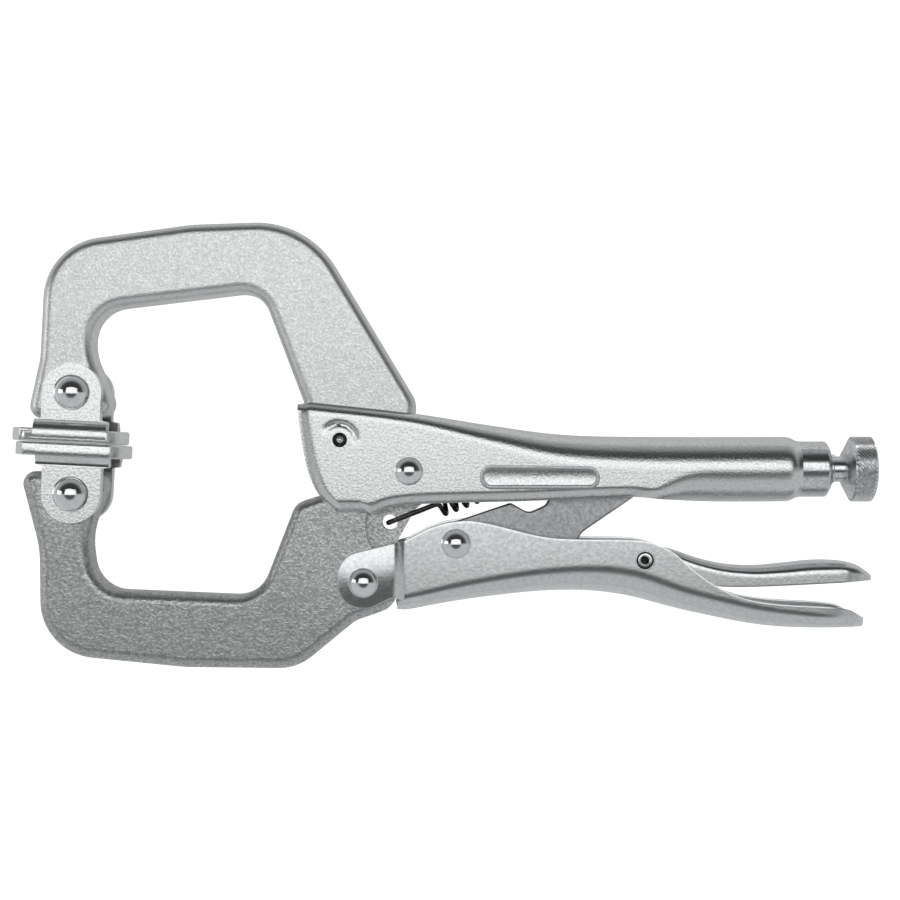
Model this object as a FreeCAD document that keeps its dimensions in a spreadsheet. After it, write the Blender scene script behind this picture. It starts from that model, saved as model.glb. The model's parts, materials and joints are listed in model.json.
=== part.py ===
import FreeCAD
import Part
import Sketcher

import math
import os

# Locking C clamp, 150 mm class, lying on its side.
# +X runs from the jaws to the adjusting screw, +Y from the hinged handle to the fixed one,
# +Z is the thickness.  Sketches are drawn about the mid-plane, which the bodies lift to mid_height.

driving = {
    "mid_height": 8.3,            # half of the widest piece, the swivel pads' rivets
    "jaw_thickness": 7.6,
    "jaw_edge_round": 1.9,
    "jaw_knuckle": 6.4,           # radius of the hinged jaw round its pivot
    "jaw_gap": 0.35,              # between the fixed jaw's shank and the knuckle
    "tab_thickness": 3.2,         # thinned ear that the spring hooks into
    "tab_hole": 1.35,
    "channel_width": 11.3,
    "handle_width": 13.0,
    "ear_width": 11.1,
    "sheet": 1.6,
    "tube_radius": 5.65,
    "neck_radius": 4.85,
    "screw_axis": -4.3,
    "screw_radius": 2.7,
    "knob_radius": 5.7,
    "knob_length": 5.1,
    "rivet_radius": 1.8,
    "rivet_head": 2.55,
    "rivet_crown": 1.35,
    "pad_rivet_head": 3.0,
    "pad_rivet_crown": 1.7,
    "head_seat": 0.15,            # rivet heads on the fixed handle sit in shallow seats
    "bearing_gap": 0.06,          # radial, between a rivet and what turns on it
    "link_thickness": 3.0,
    "lever_width": 9.0,
    "lever_sheet": 1.2,
    "lever_pin": 1.65,
    "lever_pin_bore": 0.65,
    "lever_pin_dimple": 1.4,
    "jaw_pin": 1.25,
    "pad_radius": 10.0,
    "pad_sheet": 2.4,
    "pad_reach": 8.65,            # rivet centre to the clamping face
    "pad_width": 13.2,            # across the two ears
    "pad_ear_radius": 5.0,
    "pad_tilt": -2.8,
    "spring_coil": 2.65,
    "spring_wire": 0.85,
    "jaw_pivot_x": -6.17,
    "jaw_pivot_y": -4.62,
    "handle_pivot_x": -14.03,
    "handle_pivot_y": -23.79,
    "link_pivot_x": 1.9,
    "link_pivot_y": -17.05,
    "lever_pivot_x": 34.29,
    "lever_pivot_y": -19.88,
    "jaw_pin_x": -18.06,
    "jaw_pin_y": 0.77,
    "upper_pad_x": -64.0,
    "upper_pad_y": 8.92,
    "lower_pad_x": -64.2,
    "lower_pad_y": -8.52,
    "spring_hole_x": -9.6,
    "spring_hole_y": -13.56,
}

doc = FreeCAD.newDocument("locking_c_clamp")
dims = doc.addObject("Spreadsheet::Sheet", "dims")
for row, (alias, value) in enumerate(driving.items(), start=1):
    dims.set(f"A{row}", alias)
    dims.set(f"B{row}", str(value))
    dims.setAlias(f"B{row}", alias)
doc.recompute()


def size(alias):
    return float(dims.get(alias))


def point(alias):
    return size(alias + "_x"), size(alias + "_y")


# --- sketch geometry -----------------------------------------------------------------------

def vector(x, y):
    return FreeCAD.Vector(x, y, 0)


def arc(centre, radius, start, end):
    """The shorter arc about centre from start to end."""
    first = math.atan2(start.y - centre.y, start.x - centre.x)
    last = math.atan2(end.y - centre.y, end.x - centre.x)
    circle = Part.Circle(centre, FreeCAD.Vector(0, 0, 1), radius)
    if (last - first) % (2 * math.pi) > math.pi:
        first, last = last, first
    return Part.ArcOfCircle(circle, first, last)


def rounded(corners):
    """A closed outline of lines and tangent arcs, from corners (x, y) or (x, y, radius)."""
    spots = [vector(corner[0], corner[1]) for corner in corners]
    radii = [corner[2] if len(corner) > 2 else 0 for corner in corners]
    ends = []
    arcs = []
    for i, spot in enumerate(spots):
        back = (spots[i - 1] - spot).normalize()
        ahead = (spots[(i + 1) % len(spots)] - spot).normalize()
        half = back.getAngle(ahead) / 2
        reach = radii[i] / math.tan(half)
        start, end = spot + back * reach, spot + ahead * reach
        ends.append((start, end, reach))
        if radii[i]:
            middle = (back + ahead).normalize() * (radii[i] / math.sin(half))
            arcs.append(arc(spot + middle, radii[i], start, end))
        else:
            arcs.append(None)
    pieces = []
    for i in range(len(spots)):
        following = (i + 1) % len(spots)
        if arcs[i]:
            pieces.append(arcs[i])
        room = (spots[following] - spots[i]).Length - ends[i][2] - ends[following][2]
        if room < 0:
            raise ValueError(f"corner {corners[i]} and the next one are rounded past each other by {-room:.2f}")
        if room > 1e-6:
            pieces.append(Part.LineSegment(ends[i][1], ends[following][0]))
    return pieces


def circle(x, y, radius):
    return [Part.Circle(vector(x, y), FreeCAD.Vector(0, 0, 1), radius)]


def frame_round(corners, left, low, right, high):
    """The outline inside a large rectangle, for cutting away all that lies outside the outline."""
    return rounded([(left, low), (right, low), (right, high), (left, high)]) + rounded(corners)


# --- features ------------------------------------------------------------------------------

def new_body(name):
    body = doc.addObject("PartDesign::Body", name)
    body.setExpression("Placement.Base.z", "dims.mid_height")
    return body


def sketch(body, name, geometry, role="XY_Plane", offset=0.0):
    drawing = body.newObject("Sketcher::SketchObject", name)
    plane = next(f for f in body.Origin.OriginFeatures if f.Role == role)
    drawing.AttachmentSupport = [(plane, "")]
    drawing.MapMode = "FlatFace"
    drawing.AttachmentOffset = FreeCAD.Placement(FreeCAD.Vector(0, 0, offset), FreeCAD.Rotation())
    drawing.addGeometry(geometry, False)
    return drawing


def round_holes(body, name, holes):
    """A sketch of circles, each (pivot alias, radius expression), dimensioned from the sheet."""
    drawing = sketch(body, name, [])
    for pivot, radius in holes:
        x, y = point(pivot)
        index = drawing.addGeometry(Part.Circle(vector(x, y), FreeCAD.Vector(0, 0, 1), 1.0), False)
        for kind, expression in (("DistanceX", f"dims.{pivot}_x"), ("DistanceY", f"dims.{pivot}_y")):
            value = x if kind == "DistanceX" else y
            number = drawing.addConstraint(Sketcher.Constraint(kind, index, 3, value))
            drawing.setExpression(f"Constraints[{number}]", expression)
        number = drawing.addConstraint(Sketcher.Constraint("Radius", index, 1.0))
        drawing.setExpression(f"Constraints[{number}]", radius)
    return drawing


def volume(body):
    return 0.0 if body.Shape.isNull() else body.Shape.Volume


def finish_feature(body, feature):
    body.Tip = feature
    doc.recompute()
    return feature


def pad(body, profile, thickness):
    feature = body.newObject("PartDesign::Pad", profile.Name + "_pad")
    feature.Profile = profile
    feature.SideType = "Symmetric"
    feature.setExpression("Length", thickness)
    return finish_feature(body, feature)


def pocket(body, profile, depth=None):
    """A symmetric cut right through, or to the given depth expression about the mid-plane."""
    before = volume(body)
    feature = body.newObject("PartDesign::Pocket", profile.Name + "_cut")
    feature.Profile = profile
    feature.SideType = "Symmetric"
    if depth:
        feature.setExpression("Length", depth)
    else:
        feature.Length = 200
    finish_feature(body, feature)
    if volume(body) > before - 1e-4:
        raise RuntimeError(feature.Name + " cuts nothing")
    return feature


def face_pocket(body, profile, depth):
    """Cuts from a sketch that lies on an outer side, inwards on that side only."""
    before = volume(body)
    feature = body.newObject("PartDesign::Pocket", profile.Name + "_cut")
    feature.Profile = profile
    feature.setExpression("Length", depth)
    feature.Reversed = profile.AttachmentOffset.Base.z < 0
    finish_feature(body, feature)
    if volume(body) > before - 1e-4:
        raise RuntimeError(feature.Name + " cuts nothing")
    return feature


def loft(body, kind, sections, ruled=False):
    feature = body.newObject("PartDesign::" + kind, sections[0].Name + "_loft")
    feature.Profile = sections[0]
    feature.Sections = sections[1:]
    feature.Ruled = ruled
    return finish_feature(body, feature)


def fillet(body, feature, radius, chosen):
    """Rounds the edges of the feature that chosen(edge) picks."""
    names = [f"Edge{i}" for i, edge in enumerate(feature.Shape.Edges, start=1) if chosen(edge)]
    rounding = body.newObject("PartDesign::Fillet", feature.Name + "_round")
    rounding.Base = (feature, names)
    rounding.setExpression("Radius", radius)
    return finish_feature(body, rounding)


def on_side(half):
    """Picks edges that lie wholly on either outer side of a symmetric pad."""
    def chosen(edge):
        heights = [abs(vertex.Z) for vertex in edge.Vertexes]
        return all(abs(height - half) < 1e-4 for height in heights)
    return chosen


def cylinder(name, radius, length, x="0", y="0", z="0", rotation=None):
    """A Part cylinder centred on its length about (x, y, z), all expressions."""
    solid = doc.addObject("Part::Cylinder", name)
    solid.setExpression("Radius", radius)
    solid.setExpression("Height", length)
    if rotation:
        solid.Placement = FreeCAD.Placement(FreeCAD.Vector(), rotation)
    for axis, value in (("x", x), ("y", y), ("z", z)):
        solid.setExpression("Placement.Base." + axis, value)
    return solid


# --- the two jaws --------------------------------------------------------------------------

def jaw_blank(name, outline):
    body = new_body(name)
    blank = pad(body, sketch(body, name + "_outline", rounded(outline)), "dims.jaw_thickness")
    fillet(body, blank, "dims.jaw_edge_round", on_side(size("jaw_thickness") / 2))
    return body


def upper_jaw():
    """Forged C arm fixed in the handle; its shank is hollowed round the hinged jaw's knuckle."""
    body = jaw_blank("upper_jaw", [
        (-72.6, 4.5, 2.2),
        (-70.3, 15.0, 12),
        (-69.3, 34.7, 11),
        (-44.0, 38.2, 30),
        (-23.8, 38.9, 16),
        (-4.9, 7.4, 4.5),
        (-5.6, 1.5),
        (-12.0, 1.5),
        (-13.0, -5.3),
        (-21.9, -8.0, 2.2),
        (-24.2, 6.5, 8),
        (-31.9, 26.7, 5),
        (-61.1, 23.2, 6),
        (-61.1, 15.6, 9),
        (-56.6, 4.5, 2.6),
    ])
    knuckle = round_holes(body, "knuckle_room", [("jaw_pivot", "dims.jaw_knuckle + dims.jaw_gap")])
    pocket(body, knuckle)
    pocket(body, round_holes(body, "upper_jaw_holes", [
        ("jaw_pin", "dims.jaw_pin"),
        ("upper_pad", "dims.rivet_radius + dims.bearing_gap"),
    ]))


def lower_jaw():
    """Forged C arm that turns on the main rivet; carries the hinged handle and the spring tab."""
    body = jaw_blank("lower_jaw", [
        (-73.9, -4.6, 2.2),
        (-57.7, -4.6, 2.6),
        (-61.9, -15.6, 12),
        (-60.6, -25.2, 6),
        (-32.2, -26.4, 6),
        (-25.9, -10.2, 3),
        (-12.57, -5.85, 0.8),
        (-12.57, 1.78, 6.39),
        (0.23, 1.78, 6.39),
        (0.23, -6.8, 3.0),
        (-5.3, -11.4, 2),
        (-8.9, -18.0, 3),
        (-8.0, -28.0, 4),
        (-15.5, -30.6, 4),
        (-25.6, -38.9, 9),
        (-45.0, -38.7, 40),
        (-70.2, -36.2, 10),
        (-70.4, -18.0, 20),
    ])
    half_tab = "dims.tab_thickness / 2"
    side = size("jaw_thickness") / 2
    for z in (side, -side):
        recess = sketch(body, f"tab_recess_{'front' if z > 0 else 'back'}", circle(-6.2, -14.0, 7.6), offset=z)
        face_pocket(body, recess, "dims.jaw_thickness / 2 - " + half_tab)
    pocket(body, round_holes(body, "lower_jaw_holes", [
        ("jaw_pivot", "dims.rivet_radius + dims.bearing_gap"),
        ("handle_pivot", "dims.rivet_radius + dims.bearing_gap"),
        ("lower_pad", "dims.rivet_radius + dims.bearing_gap"),
        ("spring_hole", "dims.tab_hole"),
    ]))


# --- the fixed handle ----------------------------------------------------------------------

def section(body, name, x, low, high, half_width, low_round, high_round):
    """A rounded rectangle across the handle at x."""
    corners = [
        (low, -half_width, low_round),
        (high, -half_width, high_round),
        (high, half_width, high_round),
        (low, half_width, low_round),
    ]
    return sketch(body, name, rounded(corners), role="YZ_Plane", offset=x)


def handle_shell(body, name, kind, stations, wall, half_width, ruled=False):
    """Lofts the handle's outside (wall 0) or its inside (wall thickness) through the stations."""
    sections = []
    for number, (x, low, high, low_round, high_round) in enumerate(stations, start=1):
        sections.append(section(
            body, f"{name}_{number}", x, low + wall, high - wall, half_width - wall,
            max(low_round - wall, 0.3), max(high_round - wall, 0.3)))
    return loft(body, kind, sections, ruled)


def even_stations(knots, count):
    """Points spaced evenly along the smooth curve through the knots (x, level, corner radius)."""
    curve = Part.BSplineCurve()
    curve.interpolate([FreeCAD.Vector(*knot) for knot in knots])
    first, last = curve.FirstParameter, curve.LastParameter
    return [curve.value(first + (last - first) * i / count) for i in range(count + 1)]


def upper_handle():
    """Sheet folded over its top edge into an open channel, closing to a tube at the back."""
    body = new_body("upper_handle")
    wall = size("sheet")
    half = size("channel_width") / 2
    tube = size("tube_radius")
    axis = size("screw_axis")
    top = axis + tube
    channel_end = 34.0
    tube_start = 45.0
    below = -16.0
    channel = [
        (-27.0, below, 7.75, 0.5, 2.0),
        (-6.0, below, 5.45, 0.5, 2.2),
        (8.0, below, 3.3, 0.5, 3.6),
        (20.0, below, 1.62, 0.5, 4.9),
        (channel_end, below, top, 0.5, 5.55),
    ]
    closing = [
        (channel_end - 1.5, -10.45, top, 2.0, 5.55),
        (tube_start, axis - tube, top, 5.55, 5.55),
    ]
    spare = 0.02
    handle_shell(body, "channel_outside", "AdditiveLoft", channel, 0.0, half + spare)
    # The cheeks are trimmed flat, and then to the side outline.
    cheeks = [(-40.0, -half), (60.0, -half), (60.0, half), (-40.0, half)]
    pocket(body, sketch(body, "flat_cheeks", frame_round(cheeks, -50.0, -20.0, 70.0, 20.0), role="XZ_Plane"))
    outline = [
        (-25.5, 12.0),
        (-23.9, -4.6, 14),
        (-18.7, -12.7, 5.2),
        (-2.0, -10.15, 40),
        (channel_end - 1.5, -9.1),
        (channel_end - 1.5, -8.0),
        (60.0, -8.0),
        (60.0, 12.0),
    ]
    pocket(body, sketch(body, "channel_side", frame_round(outline, -40.0, -30.0, 70.0, 30.0)))
    handle_shell(body, "closing_outside", "AdditiveLoft", closing, 0.0, half, ruled=True)
    tube_profile = sketch(body, "tube_profile", [], role="XY_Plane")
    tube_points = [
        (tube_start - 0.5, 0.0),
        (tube_start - 0.5, tube),
        (59.4, tube, 3.0),
        (61.7, size("neck_radius") + 0.05, 1.2),
        (61.7, 0.0),
    ]
    tube_profile.addGeometry(rounded(tube_points), False)
    tube_profile.AttachmentOffset = FreeCAD.Placement(FreeCAD.Vector(0, axis, 0), FreeCAD.Rotation())
    revolve_about_screw(body, tube_profile, "Revolution")
    open_channel = [station[:1] + (below - 8.0,) + station[2:] for station in channel]
    open_channel[0] = (-29.0,) + open_channel[0][1:2] + (7.95,) + open_channel[0][3:]
    handle_shell(body, "channel_inside", "SubtractiveLoft", open_channel, wall, half)
    handle_shell(body, "closing_inside", "SubtractiveLoft", closing, wall, half, ruled=True)
    bore = sketch(body, "tube_bore", [], role="XY_Plane")
    bore.AttachmentOffset = FreeCAD.Placement(FreeCAD.Vector(0, axis, 0), FreeCAD.Rotation())
    bore.addGeometry(rounded([
        (tube_start - 1.0, 0.0),
        (tube_start - 1.0, tube - wall),
        (70.0, tube - wall),
        (70.0, 0.0),
    ]), False)
    revolve_about_screw(body, bore, "Groove")
    slot = sketch(body, "link_slot", rounded([
        (channel_end - 4.0, -2.3), (43.0, -2.3, 2.2), (43.0, 2.3, 2.2), (channel_end - 4.0, 2.3)]), role="XZ_Plane",
        offset=-axis)
    cut = body.newObject("PartDesign::Pocket", "link_slot_cut")
    cut.Profile = slot
    cut.Length = 12.0
    cut.Reversed = True
    before = volume(body)
    finish_feature(body, cut)
    if volume(body) > before - 1.0 or volume(body) < before - 120.0:
        raise RuntimeError("the link's slot is not cut as meant")
    pocket(body, sketch(body, "jaw_slot", rounded([
        (-30.0, 0.0), (-5.0, 0.0), (-5.0, 14.0), (-30.0, 14.0)])), "dims.jaw_thickness + 0.2")
    pocket(body, round_holes(body, "upper_handle_holes", [
        ("jaw_pin", "dims.jaw_pin"),
        ("jaw_pivot", "dims.rivet_radius"),
    ]))
    for z in (half, -half):
        seat = round_holes(body, f"head_seat_{'front' if z > 0 else 'back'}", [("jaw_pivot", "dims.rivet_head + 0.03")])
        seat.AttachmentOffset = FreeCAD.Placement(FreeCAD.Vector(0, 0, z), FreeCAD.Rotation())
        doc.recompute()
        face_pocket(body, seat, "dims.head_seat")


def revolve_about_screw(body, profile, kind):
    """Turns a profile drawn above the screw's axis, which is the profile's own X axis."""
    before = volume(body)
    feature = body.newObject("PartDesign::" + kind, profile.Name + "_turn")
    feature.Profile = profile
    feature.ReferenceAxis = (profile, ["H_Axis"])
    feature.Angle = 360
    finish_feature(body, feature)
    grown = volume(body) - before
    if (grown > 0) != (kind == "Revolution"):
        raise RuntimeError(feature.Name + " changed the volume the wrong way")
    return feature


def turned(name, profile):
    """A body of revolution about the screw's axis; the profile is (x, radius, corner radius)."""
    body = new_body(name)
    drawing = sketch(body, name + "_profile", rounded(profile))
    drawing.AttachmentOffset = FreeCAD.Placement(FreeCAD.Vector(0, size("screw_axis"), 0), FreeCAD.Rotation())
    revolve_about_screw(body, drawing, "Revolution")
    return body


# --- adjusting screw and its bushing -------------------------------------------------------

knob_face = 69.6
bushing_end = 67.0


def screw_pieces():
    screw = size("screw_radius")
    bore = screw + size("bearing_gap")
    tube_bore = size("tube_radius") - size("sheet")
    neck = size("neck_radius")
    turned("end_bushing", [
        (56.0, bore),
        (56.0, tube_bore),
        (61.7, tube_bore),
        (61.7, neck),
        (bushing_end - 0.6, neck, 0.5),
        (bushing_end, neck - 1.0, 0.3),
        (bushing_end, bore),
    ])
    nose_front = 39.5
    nose_end = 41.8
    screw_front = nose_end + 0.05
    turned("screw_nose", [
        (nose_front, 0.0), (nose_front, 2.2, 0.9), (nose_end, 2.2), (nose_end, 0.0)])
    turned("adjusting_screw", [
        (screw_front, 0.0),
        (screw_front, screw - 0.3, 0.2),
        (44.0, screw - 0.3),
        (44.5, screw),
        (knob_face - 0.6, screw, 0.2),
        (knob_face, screw - 0.5),
        (knob_face, 1.8),
        (knob_face + size("knob_length") - 0.4, 1.8),
        (knob_face + size("knob_length") - 0.4, 0.0),
    ])
    knob = size("knob_radius")
    turned("screw_knob", [
        (knob_face, 1.8),
        (knob_face, knob - 2.2, 0.4),
        (knob_face + 2.2, knob, 0.5),
        (knob_face + size("knob_length"), knob, 0.6),
        (knob_face + size("knob_length"), 1.8),
    ])


# --- the hinged handle ---------------------------------------------------------------------

def lower_handle():
    """Sheet channel folded under its lower edge; two ears at the front straddle the hinged jaw."""
    body = new_body("lower_handle")
    wall = size("sheet")
    half = size("handle_width") / 2
    above = -8.0
    low_edge = [(-7.2, -28.55, 2.0), (6.0, -26.45, 2.8), (20.0, -25.25, 4.2), (30.0, -25.95, 4.6),
                (42.0, -28.85, 5.0), (56.0, -31.35, 5.6), (73.0, -31.6, 5.9)]
    channel = [(spot.x, spot.y, above, spot.z, 0.5) for spot in even_stations(low_edge, 8)]
    handle_shell(body, "handle_outside", "AdditiveLoft", channel, 0.0, half)
    inside = [(x, low, above + 10.0, low_round, high_round) for x, low, _, low_round, high_round in channel]
    inside[0] = (-9.2,) + inside[0][1:]
    inside[-1] = (75.0,) + inside[-1][1:]
    handle_shell(body, "handle_inside", "SubtractiveLoft", inside, wall, half)
    outline = [
        (-7.3, -36.0),
        (72.4, -36.0),
        (72.4, -30.0, 0.8),
        (70.3, -28.2, 1.5),
        (48.6, -26.9, 20),
        (36.7, -16.4, 6),
        (17.7, -16.25, 20),
        (1.84, -12.3, 12.5),
        (-7.3, -16.85),
    ]
    pocket(body, sketch(body, "handle_side", frame_round(outline, -20.0, -50.0, 90.0, 20.0)))
    plan = [
        (-20.0, -half - 1.0),
        (66.0, -half - 1.0, 0),
        (66.0, -half, 0),
        (72.4, -half, 5.0),
        (72.4, half, 5.0),
        (66.0, half, 0),
        (66.0, half + 1.0, 0),
        (-20.0, half + 1.0),
    ]
    pocket(body, sketch(body, "handle_plan", frame_round(plan, -30.0, -20.0, 90.0, 20.0), role="XZ_Plane"))
    ears = sketch(body, "ears", rounded([
        (-18.4, -19.4, 4.1),
        (-5.4, -16.2),
        (-5.4, -27.9),
        (-9.5, -26.6, 3),
        (-13.0, -28.2, 4),
        (-18.4, -28.0, 4.1),
    ]))
    outer = body.newObject("PartDesign::Pad", "ears_pad")
    outer.Profile = ears
    outer.SideType = "Symmetric"
    outer.setExpression("Length", "dims.ear_width")
    finish_feature(body, outer)
    pocket(body, sketch(body, "jaw_room", rounded([
        (-30.0, -40.0), (-4.0, -40.0), (-4.0, 0.0), (-30.0, 0.0)])), "dims.jaw_thickness + 0.3")
    pocket(body, sketch(body, "ear_room", rounded([
        (-5.6, -26.7), (-3.0, -26.2), (-3.0, 0.0), (-5.6, 0.0)])), "dims.ear_width - 2 * dims.sheet")
    pocket(body, round_holes(body, "lower_handle_holes", [
        ("handle_pivot", "dims.rivet_radius"),
        ("link_pivot", "dims.rivet_radius"),
        ("lever_pivot", "dims.lever_pin"),
    ]))


def toggle_link():
    """Flat plate between the handles; its nose bears on the adjusting screw."""
    body = new_body("toggle_link")
    plate = pad(body, sketch(body, "toggle_link_outline", rounded([
        (-1.6, -20.5, 2.8),
        (22.6, -19.6, 1.8),
        (23.4, -15.6, 3.0),
        (36.2, -6.9, 1.5),
        (37.4, -5.4, 0.9),
        (37.4, -2.5, 1.5),
        (32.5, -2.5, 3.0),
        (19.4, -7.2, 3.0),
        (17.6, -10.6, 1.6),
        (14.6, -12.0, 1.9),
        (11.5, -10.2, 0.8),
        (-1.6, -14.6, 2.8),
    ])), "dims.link_thickness")
    fillet(body, plate, "0.3", on_side(size("link_thickness") / 2))
    pocket(body, round_holes(body, "link_hole", [("link_pivot", "dims.rivet_radius + dims.bearing_gap")]))


def release_lever():
    """Small folded lever in the hinged handle; its front end lifts the link's foot."""
    body = new_body("release_lever")
    edge_top = [
        (74.0, -22.2, 1.7),
        (70.6, -20.3, 4),
        (62.5, -20.2, 14),
        (53.5, -21.9, 14),
        (38.5, -17.5, 5),
        (26.2, -17.9, 1.7),
        (25.2, -21.05),
    ]
    blank = pad(body, sketch(body, "release_lever_outline", rounded([
        (21.8, -21.05, 0.4),
        (21.8, -22.25, 0.4),
        (36.0, -22.9, 4),
        (47.0, -24.6, 5),
        (56.0, -24.5, 8),
        (73.8, -23.5),
    ] + edge_top)), "dims.lever_width")

    def along_top(edge):
        middle = edge.valueAt((edge.FirstParameter + edge.LastParameter) / 2)
        lowest = -23.2 if middle.x > 60 else -22.4
        return on_side(size("lever_width") / 2)(edge) and middle.x > 27.5 and middle.y > lowest

    fillet(body, blank, "1.4", along_top)
    sheet = size("lever_sheet")
    pocket(body, sketch(body, "lever_room", rounded([
        (20.0, -30.0),
        (72.2, -30.0),
        (72.2, -23.2, 0.5),
        (70.0, -20.3 - sheet, 3),
        (62.5, -20.3 - sheet, 13),
        (53.5, -21.95 - sheet, 14),
        (38.3, -17.6 - sheet, 4),
        (27.2, -17.9 - sheet, 1.0),
        (26.2, -21.05 - sheet, 0.6),
        (20.0, -21.05 - sheet),
    ])), "dims.lever_width - 2 * dims.lever_sheet")
    pocket(body, round_holes(body, "lever_hole", [("lever_pivot", "dims.lever_pin + dims.bearing_gap")]))


# --- swivel pads ---------------------------------------------------------------------------

def swivel_pad(name, pivot, half_turn):
    """Disc with two ears folded up from it, drawn about its rivet and then tilted."""
    body = doc.addObject("PartDesign::Body", name)
    reach = size("pad_reach")
    disc = sketch(body, name + "_disc", [], role="XZ_Plane", offset=reach)
    middle = -1.0 if half_turn == 0 else 1.0
    radius = size("pad_radius")
    flat = size("pad_width") / 2
    chord = math.sqrt(radius ** 2 - flat ** 2)
    corners = [vector(middle - chord, -flat), vector(middle + chord, -flat),
               vector(middle + chord, flat), vector(middle - chord, flat)]
    centre = vector(middle, 0)
    disc.addGeometry([
        Part.LineSegment(corners[0], corners[1]),
        arc(centre, radius, corners[1], corners[2]),
        Part.LineSegment(corners[2], corners[3]),
        arc(centre, radius, corners[3], corners[0]),
    ], False)
    plate = body.newObject("PartDesign::Pad", name + "_plate")
    plate.Profile = disc
    plate.setExpression("Length", "dims.pad_sheet")
    plate.Reversed = True
    finish_feature(body, plate)
    if plate.Shape.BoundBox.YMax > 0 or plate.Shape.BoundBox.YMin < -reach - 0.001:
        raise RuntimeError(name + "'s disc is on the wrong side")
    bar = 6.2
    ear = size("pad_ear_radius")
    pad(body, sketch(body, name + "_ears", rounded([
        (-ear, ear, ear - 0.02),
        (-ear, 1 - reach + 2.6, 0),
        (-bar, 1 - reach + 2.2, 0.4),
        (-bar, 0.5 - reach),
        (bar, 0.5 - reach),
        (bar, 1 - reach + 2.2, 0.4),
        (ear, 1 - reach + 2.6, 0),
        (ear, ear, ear - 0.02),
    ])), "dims.pad_width")
    pocket(body, sketch(body, name + "_gap", rounded([
        (-12.0, 12.0), (-12.0, size("pad_sheet") - reach), (12.0, size("pad_sheet") - reach), (12.0, 12.0)])),
        "dims.jaw_thickness + 0.4")
    for side in (-1, 1):
        notch = [(side * bar, -20.0), (side * (bar + 1.1), -20.0), (side * (bar + 1.1), -5.2), (side * bar, -5.2)]
        for way in (-1, 1):
            drawn = [(x, way * y) for x, y in notch]
            pocket_down(body, f"{name}_notch_{'l' if side < 0 else 'r'}{'f' if way < 0 else 'b'}", drawn)
    round_ears = sketch(body, name + "_hole", circle(0, 0, size("rivet_radius")))
    pocket(body, round_ears)
    turn = FreeCAD.Rotation(FreeCAD.Vector(0, 0, 1), size("pad_tilt") + half_turn)
    body.Placement = FreeCAD.Placement(FreeCAD.Vector(), turn)
    body.setExpression("Placement.Base.x", f"dims.{pivot}_x")
    body.setExpression("Placement.Base.y", f"dims.{pivot}_y")
    body.setExpression("Placement.Base.z", "dims.mid_height")


def pocket_down(body, name, corners):
    """A relief notch beside the ear's bend, cut through the disc along Y."""
    drawing = sketch(body, name, rounded(corners), role="XZ_Plane", offset=size("pad_reach") + 1.0)
    before = volume(body)
    feature = body.newObject("PartDesign::Pocket", name + "_cut")
    feature.Profile = drawing
    feature.Length = size("pad_sheet") + 1.5
    finish_feature(body, feature)
    if volume(body) > before - 1e-4:
        feature.Reversed = True
        doc.recompute()


# --- rivets and pins -----------------------------------------------------------------------

def rivet(name, pivot, grip, head, crown):
    """Shank with a domed head at each end; grip is the length between the heads."""
    shank = cylinder(name + "_shank", "dims.rivet_radius", grip, z=f"-({grip}) / 2")
    pieces = [shank]
    for end, sign in (("front", 1), ("back", -1)):
        dome = doc.addObject("Part::Sphere", f"{name}_{end}")
        dome_radius = f"(({head}) ^ 2 + ({crown}) ^ 2) / (2 * ({crown}))"
        dome.setExpression("Radius", dome_radius)
        lift = f"({grip}) / 2 + {crown} - {dome_radius}"
        base = f"asin(({dome_radius} - {crown}) / ({dome_radius}))"
        dome.Angle1 = 0
        dome.Angle2 = 90
        dome.setExpression("Angle1", base)
        if sign < 0:
            dome.Placement.Rotation = FreeCAD.Rotation(FreeCAD.Vector(1, 0, 0), 180)
            lift = f"-({lift})"
        dome.setExpression("Placement.Base.z", lift)
        pieces.append(dome)
    whole = doc.addObject("Part::MultiFuse", name)
    whole.Shapes = pieces
    whole.Refine = True
    place_at(whole, pivot)


def place_at(solid, pivot):
    solid.setExpression("Placement.Base.x", f"dims.{pivot}_x")
    solid.setExpression("Placement.Base.y", f"dims.{pivot}_y")
    solid.setExpression("Placement.Base.z", "dims.mid_height")


def rivets():
    head, crown = "dims.rivet_head", "dims.rivet_crown"
    rivet("jaw_pivot_rivet", "jaw_pivot", "dims.channel_width - 2 * dims.head_seat", head, crown)
    rivet("handle_pivot_rivet", "handle_pivot", "dims.ear_width", head, crown)
    rivet("link_rivet", "link_pivot", "dims.handle_width", head, crown)
    pad_head, pad_crown = "dims.pad_rivet_head", "dims.pad_rivet_crown"
    rivet("upper_pad_rivet", "upper_pad", "dims.pad_width", pad_head, pad_crown)
    rivet("lower_pad_rivet", "lower_pad", "dims.pad_width", pad_head, pad_crown)


def pins():
    """A solid pin that keys the fixed jaw, and the release lever's pin with a dimple in each end."""
    pin = cylinder("upper_jaw_pin", "dims.jaw_pin", "dims.channel_width - 0.4",
                   "dims.jaw_pin_x", "dims.jaw_pin_y", "dims.mid_height - (dims.channel_width - 0.4) / 2")
    pin.Label = "upper_jaw_pin"
    length = "dims.handle_width - 0.1"
    solid = cylinder("lever_pin_outside", "dims.lever_pin", length, z=f"-({length}) / 2")
    ends = {"back": f"-({length}) / 2", "front": f"({length}) / 2 - dims.lever_pin_dimple"}
    for end, start in ends.items():
        dimple = cylinder("lever_pin_" + end, "dims.lever_pin_bore", "dims.lever_pin_dimple", z=start)
        cut = doc.addObject("Part::Cut", "release_lever_pin" if end == "front" else "lever_pin_one_dimple")
        cut.Base = solid
        cut.Tool = dimple
        solid = cut
    place_at(solid, "lever_pivot")


# --- the spring ----------------------------------------------------------------------------

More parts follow.
